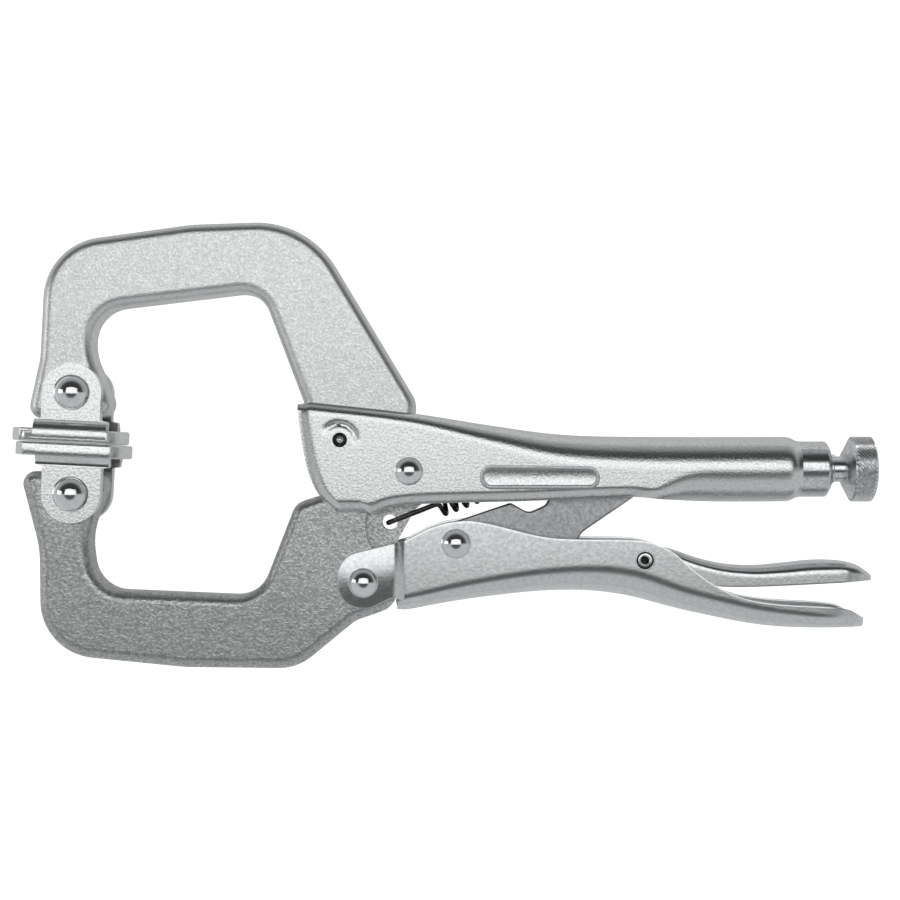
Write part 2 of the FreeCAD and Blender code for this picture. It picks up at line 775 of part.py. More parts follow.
def bent_wire(hole, along, reach, spread, radius):
    """One round wire from the coil through the tab's hole and back, with a bend on each side of the tab."""
    up = FreeCAD.Vector(0, 0, 1)
    bend = 2.4 * radius
    corner = bend * (1 - math.sqrt(0.5))
    points = []
    for side in (1, -1):
        points.append([
            hole + along * reach + up * (side * spread),
            hole + along * bend + up * (side * spread),
            hole + along * corner + up * (side * (spread - corner)),
            hole + up * (side * (spread - bend)),
        ])
    (far, turn, middle, foot), (far_back, turn_back, middle_back, foot_back) = points
    path = Part.Wire([
        Part.LineSegment(far, turn).toShape(),
        Part.Arc(turn, middle, foot).toShape(),
        Part.LineSegment(foot, foot_back).toShape(),
        Part.Arc(foot_back, middle_back, turn_back).toShape(),
        Part.LineSegment(turn_back, far_back).toShape(),
    ])
    section = Part.Wire([Part.Circle(far, along, radius).toShape()])
    return path.makePipeShell([section], True, False, 0)


def return_spring():
    """Tension spring from the jaw's tab up into the channel, drawn as its coil's envelope and end wires."""
    slope = math.radians(20.9)
    along = vector(math.cos(slope), math.sin(slope))
    across = FreeCAD.Vector(-along.y, along.x, 0)
    hole = vector(*point("spring_hole"))
    coil = size("spring_coil")
    wire = size("spring_wire") / 2
    coil_start, coil_length, hook_length = 11.2, 11.6, 4.2
    envelope = Part.makeCylinder(coil, coil_length, hole + along * coil_start, along)
    hollow = Part.makeCylinder(coil - 2 * wire, coil_length, hole + along * coil_start, along)
    spread = size("tab_thickness") / 2 + 0.2 + wire
    prongs = bent_wire(hole, along, coil_start + 0.8, spread, wire)
    last = hole + along * (coil_start + coil_length - wire - 0.1)
    rung = Part.makeCylinder(wire, 2 * (coil - wire), last - across * (coil - wire), across)
    tail = Part.makeCylinder(wire, hook_length, last, along)
    spring = doc.addObject("Part::Feature", "return_spring")
    spring.Shape = envelope.cut(hollow).fuse(prongs).fuse(rung).fuse(tail)
    spring.Placement = FreeCAD.Placement(FreeCAD.Vector(0, 0, size("mid_height")), FreeCAD.Rotation())


upper_jaw()
lower_jaw()
upper_handle()
screw_pieces()
lower_handle()
toggle_link()
release_lever()
swivel_pad("upper_pad", "upper_pad", 0)
swivel_pad("lower_pad", "lower_pad", 180)
rivets()
pins()
return_spring()
doc.recompute()

nodes = [
    "upper_handle", "end_bushing", "upper_jaw", "upper_jaw_pin", "jaw_pivot_rivet",
    "lower_jaw", "handle_pivot_rivet", "lower_handle", "link_rivet", "toggle_link",
    "release_lever", "release_lever_pin", "adjusting_screw", "screw_knob", "screw_nose",
    "return_spring", "upper_pad", "upper_pad_rivet", "lower_pad", "lower_pad_rivet",
]

failed = [item.Name for item in doc.Objects if {"Invalid", "Error"} & set(item.State)]
if failed:
    raise RuntimeError("failed: " + ", ".join(failed))

os.makedirs("parts", exist_ok=True)
whole = FreeCAD.BoundBox()
for name in nodes:
    item = doc.getObject(name)
    item.Label = name
    shape = item.Shape
    if shape.isNull() or not shape.isValid():
        raise RuntimeError(name + " has no valid shape")
    whole.add(shape.BoundBox)
    shape.exportStep(f"parts/{name}.step")
    print(f"{name}: {len(shape.Solids)} solid, {shape.Volume:.1f} mm3")
print("size", [round(value, 2) for value in (whole.XLength, whole.YLength, whole.ZLength)])
print("centre", [round(value, 2) for value in (whole.Center.x, whole.Center.y)], "floor", round(whole.ZMin, 3))
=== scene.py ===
import bmesh
import bpy
import json
import math
from mathutils import Matrix, Vector


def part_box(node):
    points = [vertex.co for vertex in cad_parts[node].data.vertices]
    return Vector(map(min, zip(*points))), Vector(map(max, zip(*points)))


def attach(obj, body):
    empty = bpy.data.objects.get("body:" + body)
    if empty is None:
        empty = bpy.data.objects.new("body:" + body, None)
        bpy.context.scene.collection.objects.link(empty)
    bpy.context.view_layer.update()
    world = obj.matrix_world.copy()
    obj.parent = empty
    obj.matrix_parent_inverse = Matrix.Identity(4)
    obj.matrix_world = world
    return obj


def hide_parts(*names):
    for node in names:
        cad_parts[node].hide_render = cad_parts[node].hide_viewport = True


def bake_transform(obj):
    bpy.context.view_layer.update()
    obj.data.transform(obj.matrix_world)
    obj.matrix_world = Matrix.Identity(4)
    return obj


# Locking C clamp: the CAD pieces keep their places, and the sheet, screw, spring and pads get finer meshes.
# +X runs from the jaws to the screw, +Z is the thickness; sizes below are in millimetres.

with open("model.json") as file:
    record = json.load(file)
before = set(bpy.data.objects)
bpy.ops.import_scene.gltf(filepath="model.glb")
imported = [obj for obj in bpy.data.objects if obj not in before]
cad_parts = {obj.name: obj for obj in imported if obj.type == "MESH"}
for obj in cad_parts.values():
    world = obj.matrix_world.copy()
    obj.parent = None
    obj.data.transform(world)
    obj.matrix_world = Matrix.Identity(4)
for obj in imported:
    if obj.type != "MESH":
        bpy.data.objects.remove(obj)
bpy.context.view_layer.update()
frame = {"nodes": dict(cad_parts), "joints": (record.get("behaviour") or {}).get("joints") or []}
mm = 0.001
joints = {joint["name"]: Vector(joint["pos_m"]) for joint in frame["joints"] if "pos_m" in joint}
midHeight = joints["jaw_pivot"].z
screwAxis = (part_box("adjusting_screw")[0].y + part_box("adjusting_screw")[1].y) / 2
print("frame loaded,", len(frame["nodes"]), "nodes")


def place(x, y, z):
    # millimetres about the middle plane, to metres in the frame
    return Vector((x * mm, y * mm, midHeight + z * mm))


def ease(value, start, end):
    share = min(1.0, max(0.0, (value - start) / (end - start)))
    return share * share * (3 - 2 * share)


def curveAt(knots, x):
    # smooth curve through the knots, level with each knot's neighbours
    if x <= knots[0][0]:
        return knots[0][1]
    if x >= knots[-1][0]:
        return knots[-1][1]
    i = next(k for k in range(len(knots) - 1) if x <= knots[k + 1][0])
    before, after = knots[max(i - 1, 0)], knots[min(i + 2, len(knots) - 1)]
    (x0, y0), (x1, y1) = knots[i], knots[i + 1]
    width = x1 - x0
    slopeIn = (y1 - before[1]) / (x1 - before[0]) * width
    slopeOut = (after[1] - y0) / (after[0] - x0) * width
    t = (x - x0) / width
    return ((2 * t**3 - 3 * t**2 + 1) * y0 + (t**3 - 2 * t**2 + t) * slopeIn
            + (3 * t**2 - 2 * t**3) * y1 + (t**3 - t**2) * slopeOut)


def arcPoints(centre, radius, first, last, steps):
    turns = [math.radians(first + (last - first) * i / steps) for i in range(steps + 1)]
    return [(centre[0] + radius * math.cos(turn), centre[1] + radius * math.sin(turn)) for turn in turns]


def resample(path, count):
    # count points evenly spaced along a path of 2-D points
    lengths = [0.0]
    for (ax, ay), (bx, by) in zip(path, path[1:]):
        lengths.append(lengths[-1] + math.hypot(bx - ax, by - ay))
    out, k = [], 0
    for i in range(count):
        goal = lengths[-1] * i / (count - 1)
        while k < len(path) - 2 and lengths[k + 1] < goal:
            k += 1
        span = lengths[k + 1] - lengths[k]
        share = min(1.0, (goal - lengths[k]) / span) if span > 1e-9 else 0.0
        (ax, ay), (bx, by) = path[k], path[k + 1]
        out.append((ax + (bx - ax) * share, ay + (by - ay) * share))
    return out


def roundedOutline(corners, steps=8):
    # the polygon with each corner turned into an arc of its radius
    out = []
    for i, (x, y, radius) in enumerate(corners):
        spot = Vector((x, y))
        back = (Vector(corners[i - 1][:2]) - spot).normalized()
        ahead = (Vector(corners[(i + 1) % len(corners)][:2]) - spot).normalized()
        if not radius:
            out.append(spot)
            continue
        half = back.angle(ahead) / 2
        reach = radius / math.tan(half)
        centre = spot + (back + ahead).normalized() * radius / math.sin(half)
        first, last = spot + back * reach - centre, spot + ahead * reach - centre
        turn = first.angle_signed(last)
        out += [centre + Matrix.Rotation(-turn * k / steps, 2) @ first for k in range(steps + 1)]
    return out


def finishMesh(name, bm, material, body, nodes=(), smooth=True):
    mesh = bpy.data.meshes.new(name)
    bm.to_mesh(mesh)
    bm.free()
    piece = bpy.data.objects.new(name, mesh)
    bpy.context.scene.collection.objects.link(piece)
    mesh.materials.append(material)
    for face in mesh.polygons:
        face.use_smooth = smooth
    if body:
        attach(piece, body)
    if nodes:
        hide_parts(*nodes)
    return piece


def applyModifiers(piece):
    graph = bpy.context.evaluated_depsgraph_get()
    done = bpy.data.meshes.new_from_object(piece.evaluated_get(graph))
    piece.modifiers.clear()
    piece.data = done
    for face in done.polygons:
        face.use_smooth = True


def sharpen(piece, degrees):
    # hard edges stay crisp under smooth shading
    piece.data.set_sharp_from_angle(angle=math.radians(degrees))


def newGroup(name, inputs, outputs):
    group = bpy.data.node_groups.new(name, "ShaderNodeTree")
    for label, default in inputs:
        socket = group.interface.new_socket(label, in_out="INPUT", socket_type="NodeSocketFloat")
        socket.default_value = default
    for label, kind in outputs:
        group.interface.new_socket(label, in_out="OUTPUT", socket_type=kind)
    return group, group.nodes.new("NodeGroupInput"), group.nodes.new("NodeGroupOutput")


def joined(tree, outlet, inlet):
    tree.links.new(outlet, inlet)


def grainGroup():
    # fine plated grain: a height for bump and a mask for colour and gloss
    group, given, out = newGroup(
        "platedGrain", [("Scale", 2500.0), ("Depth", 1.0)], [("Height", "NodeSocketFloat"), ("Mask", "NodeSocketFloat")])
    coords = group.nodes.new("ShaderNodeTexCoord")
    fine = group.nodes.new("ShaderNodeTexNoise")
    fine.inputs["Detail"].default_value = 3.0
    fine.inputs["Roughness"].default_value = 0.62
    broad = group.nodes.new("ShaderNodeTexNoise")
    broad.inputs["Scale"].default_value = 320.0
    broad.inputs["Detail"].default_value = 2.0
    scaled = group.nodes.new("ShaderNodeMath")
    scaled.operation = "MULTIPLY"
    mixed = group.nodes.new("ShaderNodeMath")
    mixed.operation = "MULTIPLY_ADD"
    mixed.inputs[1].default_value = 0.35
    joined(group, coords.outputs["Object"], fine.inputs["Vector"])
    joined(group, coords.outputs["Object"], broad.inputs["Vector"])
    joined(group, given.outputs["Scale"], fine.inputs["Scale"])
    joined(group, broad.outputs["Fac"], mixed.inputs[0])
    joined(group, fine.outputs["Fac"], mixed.inputs[2])
    joined(group, mixed.outputs[0], scaled.inputs[0])
    joined(group, given.outputs["Depth"], scaled.inputs[1])
    joined(group, scaled.outputs[0], out.inputs["Height"])
    joined(group, fine.outputs["Fac"], out.inputs["Mask"])
    return group


def wearGroup():
    # brighter, smoother metal where edges stand proud, broken up by noise
    group, given, out = newGroup("edgeWear", [("Amount", 1.0)], [("Mask", "NodeSocketFloat")])
    geometry = group.nodes.new("ShaderNodeNewGeometry")
    ramp = group.nodes.new("ShaderNodeMapRange")
    ramp.inputs["From Min"].default_value = 0.5
    ramp.inputs["From Max"].default_value = 0.62
    coords = group.nodes.new("ShaderNodeTexCoord")
    noise = group.nodes.new("ShaderNodeTexNoise")
    noise.inputs["Scale"].default_value = 900.0
    broken = group.nodes.new("ShaderNodeMath")
    broken.operation = "MULTIPLY"
    amount = group.nodes.new("ShaderNodeMath")
    amount.operation = "MULTIPLY"
    joined(group, geometry.outputs["Pointiness"], ramp.inputs["Value"])
    joined(group, coords.outputs["Object"], noise.inputs["Vector"])
    joined(group, ramp.outputs["Result"], broken.inputs[0])
    joined(group, noise.outputs["Fac"], broken.inputs[1])
    joined(group, broken.outputs[0], amount.inputs[0])
    joined(group, given.outputs["Amount"], amount.inputs[1])
    joined(group, amount.outputs[0], out.inputs["Mask"])
    return group


grain = grainGroup()
wear = wearGroup()


def metal(name, dark, bright, roughLow, roughHigh, grainScale, bump, wearAmount=0.5):
    material = bpy.data.materials.new(name)
    material.use_nodes = True
    tree = material.node_tree
    shader = tree.nodes["Principled BSDF"]
    shader.inputs["Metallic"].default_value = 1.0
    grained = tree.nodes.new("ShaderNodeGroup")
    grained.node_tree = grain
    grained.inputs["Scale"].default_value = grainScale
    worn = tree.nodes.new("ShaderNodeGroup")
    worn.node_tree = wear
    worn.inputs["Amount"].default_value = wearAmount
    colour = tree.nodes.new("ShaderNodeMix")
    colour.data_type = "RGBA"
    colour.inputs["A"].default_value = (*dark, 1)
    colour.inputs["B"].default_value = (*bright, 1)
    contrast = tree.nodes.new("ShaderNodeMapRange")
    contrast.inputs["From Min"].default_value = 0.35
    contrast.inputs["From Max"].default_value = 0.65
    proud = tree.nodes.new("ShaderNodeMath")
    proud.operation = "ADD"
    proud.use_clamp = True
    gloss = tree.nodes.new("ShaderNodeMapRange")
    gloss.inputs["To Min"].default_value = roughHigh
    gloss.inputs["To Max"].default_value = roughLow
    relief = tree.nodes.new("ShaderNodeBump")
    relief.inputs["Strength"].default_value = bump
    relief.inputs["Distance"].default_value = 0.1 * mm
    joined(tree, grained.outputs["Mask"], contrast.inputs["Value"])
    joined(tree, contrast.outputs["Result"], proud.inputs[0])
    joined(tree, worn.outputs["Mask"], proud.inputs[1])
    joined(tree, proud.outputs[0], colour.inputs["Factor"])
    joined(tree, colour.outputs["Result"], shader.inputs["Base Color"])
    joined(tree, proud.outputs[0], gloss.inputs["Value"])
    joined(tree, gloss.outputs["Result"], shader.inputs["Roughness"])
    joined(tree, grained.outputs["Height"], relief.inputs["Height"])
    joined(tree, relief.outputs["Normal"], shader.inputs["Normal"])
    return material


forgedPlate = metal("forgedPlate", (0.66, 0.67, 0.67), (0.84, 0.85, 0.85), 0.26, 0.36, 2700, 0.50)
forgedDark = metal("forgedDark", (0.36, 0.37, 0.37), (0.66, 0.67, 0.67), 0.26, 0.38, 2100, 0.85)
sheetPlate = metal("sheetPlate", (0.72, 0.73, 0.73), (0.86, 0.87, 0.87), 0.18, 0.28, 2300, 0.34)
smoothPlate = metal("smoothPlate", (0.72, 0.74, 0.74), (0.82, 0.84, 0.84), 0.16, 0.24, 1600, 0.10)
linkSteel = metal("linkSteel", (0.44, 0.45, 0.46), (0.58, 0.59, 0.60), 0.32, 0.44, 1900, 0.22, 0.3)
mirrorPlate = metal("mirrorPlate", (0.80, 0.81, 0.82), (0.90, 0.91, 0.92), 0.05, 0.10, 900, 0.03, 0.2)
turnedPlate = metal("turnedPlate", (0.58, 0.60, 0.61), (0.84, 0.85, 0.86), 0.12, 0.24, 1800, 0.12)
# near-black steel for the pins' groove and bore rings: painted shade where the hollows fall dark
paintedShadeSteel = metal("paintedShadeSteel", (0.02, 0.02, 0.02), (0.06, 0.06, 0.06), 0.40, 0.50, 1200, 0.10, 0.2)
springSteel = metal("springSteel", (0.05, 0.05, 0.055), (0.16, 0.16, 0.17), 0.30, 0.42, 2200, 0.15, 0.3)
print("materials made")

nodeFinish = {
    "upper_jaw": forgedPlate, "lower_jaw": forgedDark, "toggle_link": linkSteel, "end_bushing": turnedPlate,
    "jaw_pivot_rivet": mirrorPlate, "handle_pivot_rivet": mirrorPlate, "link_rivet": mirrorPlate,
    "upper_pad_rivet": mirrorPlate, "lower_pad_rivet": mirrorPlate, "screw_nose": turnedPlate,
}
for node, finish in nodeFinish.items():
    slots = frame["nodes"][node].material_slots
    if not slots:
        frame["nodes"][node].data.materials.append(finish)
    for held in frame["nodes"][node].material_slots:
        held.material = finish


def sheetShell(name, columns, rows, where, thickness, edgeRound):
    # a grid bent to shape by where(u, v), thickened inwards, with rounded sheet edges
    bm = bmesh.new()
    bmesh.ops.create_grid(bm, x_segments=columns, y_segments=rows, size=0.5)
    for vert in bm.verts:
        vert.co = where(vert.co.x + 0.5, vert.co.y + 0.5)
    bmesh.ops.recalc_face_normals(bm, faces=bm.faces)
    mesh = bpy.data.meshes.new(name)
    bm.to_mesh(mesh)
    bm.free()
    piece = bpy.data.objects.new(name, mesh)
    bpy.context.scene.collection.objects.link(piece)
    centre = sum((v.co for v in mesh.vertices), Vector()) / len(mesh.vertices)
    outward = sum((f.normal.dot(f.center - Vector((f.center.x, centre.y, centre.z))) for f in mesh.polygons))
    wall = piece.modifiers.new("wall", "SOLIDIFY")
    wall.thickness = thickness * mm
    wall.offset = -1.0 if outward > 0 else 1.0
    wall.use_even_offset = True
    if outward < 0:
        wall.use_flip_normals = True
    rim = piece.modifiers.new("rim", "BEVEL")
    rim.width = edgeRound * mm
    rim.segments = 3
    rim.limit_method = "ANGLE"
    rim.angle_limit = math.radians(50)
    applyModifiers(piece)
    return piece


def drillHole(piece, pivot, radius):
    # a round hole right through the thickness
    bm = bmesh.new()
    bmesh.ops.create_cone(
        bm, cap_ends=True, segments=48, radius1=radius * mm, radius2=radius * mm, depth=40 * mm,
        matrix=Matrix.Translation(Vector((pivot.x, pivot.y, midHeight))))
    mesh = bpy.data.meshes.new("drill")
    bm.to_mesh(mesh)
    bm.free()
    drill = bpy.data.objects.new("drill", mesh)
    bpy.context.scene.collection.objects.link(drill)
    cut = piece.modifiers.new("hole", "BOOLEAN")
    cut.object = drill
    cut.operation = "DIFFERENCE"
    cut.solver = "EXACT"
    applyModifiers(piece)
    bpy.data.objects.remove(drill)


def dressed(piece, material, body, slotName, *nodes):
    piece.data.materials.clear()
    piece.data.materials.append(material)
    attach(piece, body)
    if nodes:
        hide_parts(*nodes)
    sharpen(piece, 42)
    return piece


upperSheet = {
    "start": -25.4, "end": 61.7, "wall": 1.6, "edge": 0.72,
    "front": [(-11.4, -18.5), (-8.7, -21.6), (-7.3, -22.5), (-3.8, -23.8), (2.0, -24.9), (6.4, -25.4), (9.0, -25.5)],
    "bottom": [(-18.5, -11.5), (-16.1, -11.95), (-9.8, -10.8), (-3.8, -10.25), (14.6, -9.72), (31.8, -9.05),
               (38.0, -9.5), (46.0, -9.95), (62.0, -9.95)],
    "top": [(-27.0, 7.75), (-6.0, 5.45), (8.0, 3.3), (20.0, 1.75), (34.0, 1.35), (62.0, 1.35)],
    "fold": [(-27.0, 2.0), (-6.0, 2.2), (8.0, 3.6), (20.0, 4.9), (34.0, 5.55), (46.0, 5.6)],
    "radius": [(59.3, 5.65), (60.2, 5.5), (61.2, 5.0), (61.7, 4.92)],
    "rolled": 2.4, "dip": 0.55, "arc": {"x": -18.2, "y": 0.6, "radius": 2.9, "width": 0.42, "depth": 0.3},
}


def upperSection(x):
    # half of the section at x, from the open bottom edge round to the middle of the roof, as (z, y)
    spec = upperSheet
    radius = curveAt(spec["radius"], x)
    shrink = 5.65 - radius
    top = curveAt(spec["top"], x) - shrink
    bottom = curveAt(spec["bottom"], x) + shrink
    fold = min(curveAt(spec["fold"], x), radius - 0.02)
    closed = ease(x, 28.0, 46.0)
    curl = 1.0 + (radius - 1.0) * closed
    sweep = 1.0 + 88.0 * closed
    low = bottom + curl * math.sin(math.radians(sweep))
    path = arcPoints((radius - curl, low), curl, -sweep, 0, 14)
    path += arcPoints((radius - fold, top - fold), fold, 0, 90, 14)
    path.append((0.0, top))
    return path, (radius - fold, top - fold, fold), closed


def pressedArc(x, y):
    # how deep the arc pressed into the cheek above the pin is at a point
    spec = upperSheet["arc"]
    away = math.hypot(x - spec["x"], y - spec["y"]) - spec["radius"]
    turn = math.degrees(math.atan2(y - spec["y"], x - spec["x"]))
    ends = ease(turn, -12, 12) * (1 - ease(turn, 125, 160))
    return spec["depth"] * math.exp(-(away / spec["width"])**2) * ends


def upperWhere(u, v):
    spec = upperSheet
    length, rolled = spec["end"] - spec["start"], spec["rolled"]
    # the first columns stand close together, for the rolled front edge
    along = rolled * u / 0.08 if u < 0.08 else rolled + (length - rolled) * (u - 0.08) / 0.92
    side = 1 if v >= 0.5 else -1
    section, (foldZ, foldY, fold), closed = upperSection(spec["start"] + along)
    path = resample(section, 61)
    spot = (1 - abs(v - 0.5) * 2) * 60
    k = min(59, int(spot))
    z = path[k][0] + (path[k + 1][0] - path[k][0]) * (spot - k)
    y = path[k][1] + (path[k + 1][1] - path[k][1]) * (spot - k)
    x = spec["start"] + along + max(0.0, curveAt(spec["front"], y) - spec["start"]) * (1 - ease(along, 0.0, 20.0))
    rise = spot * math.hypot(path[1][0] - path[0][0], path[1][1] - path[0][1])
    dip = spec["dip"] * max(1 - ease(along, 0.0, spec["rolled"]), (1 - ease(rise, 0.0, 1.9)) * (1 - closed))
    outZ = min(1.0, max(0.0, (z - foldZ) / fold))
    outY = min(1.0, max(0.0, (y - foldY) / fold))
    return place(x, y - dip * outY, side * (z - (dip + pressedArc(x, y)) * outZ))


upperHandle = sheetShell("upperHandle", 230, 130, upperWhere, upperSheet["wall"], upperSheet["edge"])
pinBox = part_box("upper_jaw_pin")
pinCentre = (pinBox[0] + pinBox[1]) / 2
drillHole(upperHandle, pinCentre, 1.27)
dressed(upperHandle, sheetPlate, "fixed_handle", "stamped", "upper_handle")
print("upper handle folded")


def turnedPin(name, centre, profile, shadedRings, body, node):
    # spun about its own axis from (radius, height) points, with its lower half a mirror of the upper
    bm = bmesh.new()
    points = profile + [(radius, -height) for radius, height in reversed(profile)]
    verts = [bm.verts.new((centre.x + radius * mm, centre.y, midHeight + height * mm)) for radius, height in points]
    edges = [bm.edges.new(pair) for pair in zip(verts, verts[1:])]
    bmesh.ops.spin(
        bm, geom=verts + edges, cent=(centre.x, centre.y, midHeight), axis=(0, 0, 1), angle=2 * math.pi, steps=48,
        use_merge=True)
    bmesh.ops.remove_doubles(bm, verts=bm.verts, dist=0.001 * mm)
    bmesh.ops.recalc_face_normals(bm, faces=bm.faces)
    piece = finishMesh(name, bm, turnedPlate, body, [node])
    piece.data.materials.append(paintedShadeSteel)
    # faces in the listed rings get the near-black steel: painted shade in the groove and bore
    for face in piece.data.polygons:
        away = (face.center - centre).to_2d().length / mm
        if any(low < away < high for low, high in shadedRings):
            face.material_index = 1
    sharpen(piece, 40)


jawPinProfile = [(0, 5.5), (0.42, 5.42), (0.6, 5.2), (0.72, 4.9), (1.02, 4.9), (1.25, 5.35), (1.25, 4.6)]
# the span from 0.6 to 1.06 mm is the pin's groove, painted in shade
turnedPin("jawPin", pinCentre, jawPinProfile, [(0.6, 1.06)], "fixed_handle", "upper_jaw_pin")

frameSpec = {
    "corners": [(6.0, -3.5, 2.0), (6.0, -7.7, 2.0), (26.6, -7.7, 1.9), (26.6, -3.8, 1.9)], "wide": 0.62, "high": 0.3,
    "bevel": 0.06, "wall": 0.08, "sunk": 0.26,
}


def pressedFrame(name, way):
    # a plain oblong rim on the cheek
    spec = frameSpec
    bm = bmesh.new()
    level = way * 5.63
    face = bm.faces.new([bm.verts.new(place(p.x, p.y, level)) for p in roundedOutline(spec["corners"], 10)])
    grown = bmesh.ops.extrude_face_region(bm, geom=[face])
    raised = [g for g in grown["geom"] if isinstance(g, bmesh.types.BMVert)]
    bmesh.ops.translate(bm, verts=raised, vec=(0, 0, way * spec["high"] * mm))
    top = max(bm.faces, key=lambda f: way * f.calc_center_median().z)
    for width in (spec["wide"], spec["wall"]):
        bmesh.ops.inset_individual(bm, faces=[top], thickness=width * mm, use_even_offset=True)
    bmesh.ops.translate(bm, verts=top.verts, vec=(0, 0, -way * spec["sunk"] * mm))
    top.material_index = 1
    bmesh.ops.recalc_face_normals(bm, faces=bm.faces)
    rims = [e for e in bm.edges if e.calc_face_angle(0) > 0.9]
    bmesh.ops.bevel(
        bm, geom=rims, offset=spec["bevel"] * mm, segments=2, profile=0.5, affect="EDGES", material=-1)
    # the rim gets the darker link steel as painted shade so it stands out against the cheek, round a floor as bright
    # as the cheek
    piece = finishMesh(name, bm, linkSteel, "fixed_handle")
    piece.data.materials.append(sheetPlate)
    sharpen(piece, 30)


pressedFrame("cheekFrameFront", 1)
pressedFrame("cheekFrameBack", -1)

lowerSheet = {
    "start": -6.9, "end": 72.3, "wall": 1.6, "edge": 0.5, "reach": 1.3, "notch": 4.0, "cutBack": 0.35,
    "top": [(-6.9, -16.6), (-1.9, -14.15), (3.2, -13.15), (7.2, -13.6), (15.4, -15.6), (19.7, -16.2), (33.4, -16.5),
            (36.0, -17.05), (39.2, -18.6), (42.6, -21.6), (46.4, -24.3), (51.2, -26.4), (56.9, -27.4), (69.0, -28.3),
            (72.3, -29.9)],
    "low": [(-7.2, -28.55), (6.0, -26.45), (20.0, -25.25), (30.0, -25.95), (42.0, -28.85), (56.0, -31.35),
            (73.0, -31.6)],
    "fold": [(-7.0, 2.6), (8.0, 3.6), (20.0, 4.3), (33.0, 5.0), (42.0, 4.2), (50.0, 3.8), (60.0, 3.1), (73.0, 1.6)],
    "tail": [(60.0, 6.5), (66.0, 6.35), (70.0, 5.4), (72.3, 3.6)],
}


def lowerWhere(u, v):
    spec = lowerSheet
    x = spec["start"] + (spec["end"] - spec["start"]) * u
    half = curveAt(spec["tail"], x)
    top, low = curveAt(spec["top"], x), curveAt(spec["low"], x)
    fold = min(curveAt(spec["fold"], x), top - low - 0.2)
    path = [(half, top)] + arcPoints((half - fold, low + fold), fold, 0, -90, 16) + [(0.0, low)]
    path = resample(path, 49)
    side = 1 if v >= 0.5 else -1
    spot = (1 - abs(v - 0.5) * 2) * 48
    k = min(47, int(spot))
    z = path[k][0] + (path[k + 1][0] - path[k][0]) * (spot - k)
    y = path[k][1] + (path[k + 1][1] - path[k][1]) * (spot - k)
    # the front edge's corners reach forward at the bottom, with a notch between them for the jaw to swing in
    corner = ease(z, spec["notch"], spec["notch"] + 0.5)
    reach = spec["reach"] * corner - spec["cutBack"] * (1 - corner)
    reach *= (1 - ease(x, spec["start"], spec["start"] + 6)) * ease(-y, 26.2, 27.6)
    return place(x - reach, y, side * z)


lowerHandle = sheetShell("lowerHandle", 180, 98, lowerWhere, lowerSheet["wall"], lowerSheet["edge"])
drillHole(lowerHandle, joints["release_press"], 1.68)
dressed(lowerHandle, smoothPlate, "hinged_handle", "stamped", "lower_handle")

earPlate = {
    "corners": [(-18.4, -19.4, 4.1), (-6.3, -16.4, 0), (-6.3, -26.8, 0), (-9.3, -26.4, 1.2), (-13.0, -28.2, 3.6),
                (-18.4, -28.0, 4.1)],
    "inner": 3.95, "outer": 5.55, "joggleStart": -9.1, "joggleEnd": -6.4, "joggle": 0.8,
}


def plate(name, outline, inner, outer, edgeRound, step=0.0):
    # a flat outline extruded between two heights, with rounded rims; step is the height of an ear's joggle
    bm = bmesh.new()
    face = bm.faces.new([bm.verts.new(place(p.x, p.y, inner)) for p in outline])
    grown = bmesh.ops.extrude_face_region(bm, geom=[face])
    up = [g for g in grown["geom"] if isinstance(g, bmesh.types.BMVert)]
    bmesh.ops.translate(bm, verts=up, vec=(0, 0, (outer - inner) * mm))
    if step:
        start, end = earPlate["joggleStart"], earPlate["joggleEnd"]
        for k in range(6):
            cut = start + (end - start) * k / 5
            bmesh.ops.bisect_plane(
                bm, geom=bm.verts[:] + bm.edges[:] + bm.faces[:], plane_co=(cut * mm, 0, 0), plane_no=(1, 0, 0))
        for vert in bm.verts:
            vert.co.z += step * ease(vert.co.x / mm, start, end) * mm
    bmesh.ops.recalc_face_normals(bm, faces=bm.faces)
    mesh = bpy.data.meshes.new(name)
    bm.to_mesh(mesh)
    bm.free()
    piece = bpy.data.objects.new(name, mesh)
    bpy.context.scene.collection.objects.link(piece)
    rim = piece.modifiers.new("rim", "BEVEL")
    rim.width = edgeRound * mm
    rim.segments = 3
    rim.limit_method = "ANGLE"
    rim.angle_limit = math.radians(60)
    applyModifiers(piece)
    return piece


for label, way in (("Front", 1), ("Back", -1)):
    ear = plate(
        "handleEar" + label, roundedOutline(earPlate["corners"]), way * earPlate["inner"], way * earPlate["outer"],
        0.4, way * earPlate["joggle"])
    dressed(ear, smoothPlate, "hinged_handle", "stamped")
leverPinProfile = [(0, 5.0), (0.66, 5.05), (0.72, 6.2), (0.95, 6.42), (1.2, 6.4), (1.32, 6.05), (1.42, 6.05), (1.5, 6.4),
                   (1.65, 6.4), (1.65, 5.6)]
# the centre bore and the outer gap get the near-black steel: painted shade in the hollows
turnedPin("leverPin", joints["release_press"], leverPinProfile, [(0, 0.72), (1.26, 1.5)], "hinged_handle",
          "release_lever_pin")
print("lower handle folded")

leverSheet = {
    "start": 26.2, "end": 74.0, "wall": 1.2, "edge": 0.35, "half": 4.5,
    "top": [(26.2, -17.9), (34.0, -17.9), (38.5, -18.2), (44.0, -20.0), (48.5, -21.0), (53.5, -21.3), (58.5, -20.9),
            (64.0, -20.35), (69.0, -20.5), (72.0, -21.3), (74.0, -22.6)],
    "low": [(26.2, -22.4), (36.0, -22.9), (42.0, -23.8), (47.5, -24.5), (56.0, -24.45), (74.0, -23.55)],
    "fold": [(26.0, 1.3), (50.0, 1.4), (66.0, 1.9), (74.0, 0.7)],
    "plan": [(26.0, 4.5), (68.0, 4.5), (71.5, 3.9), (74.0, 2.2)],
}


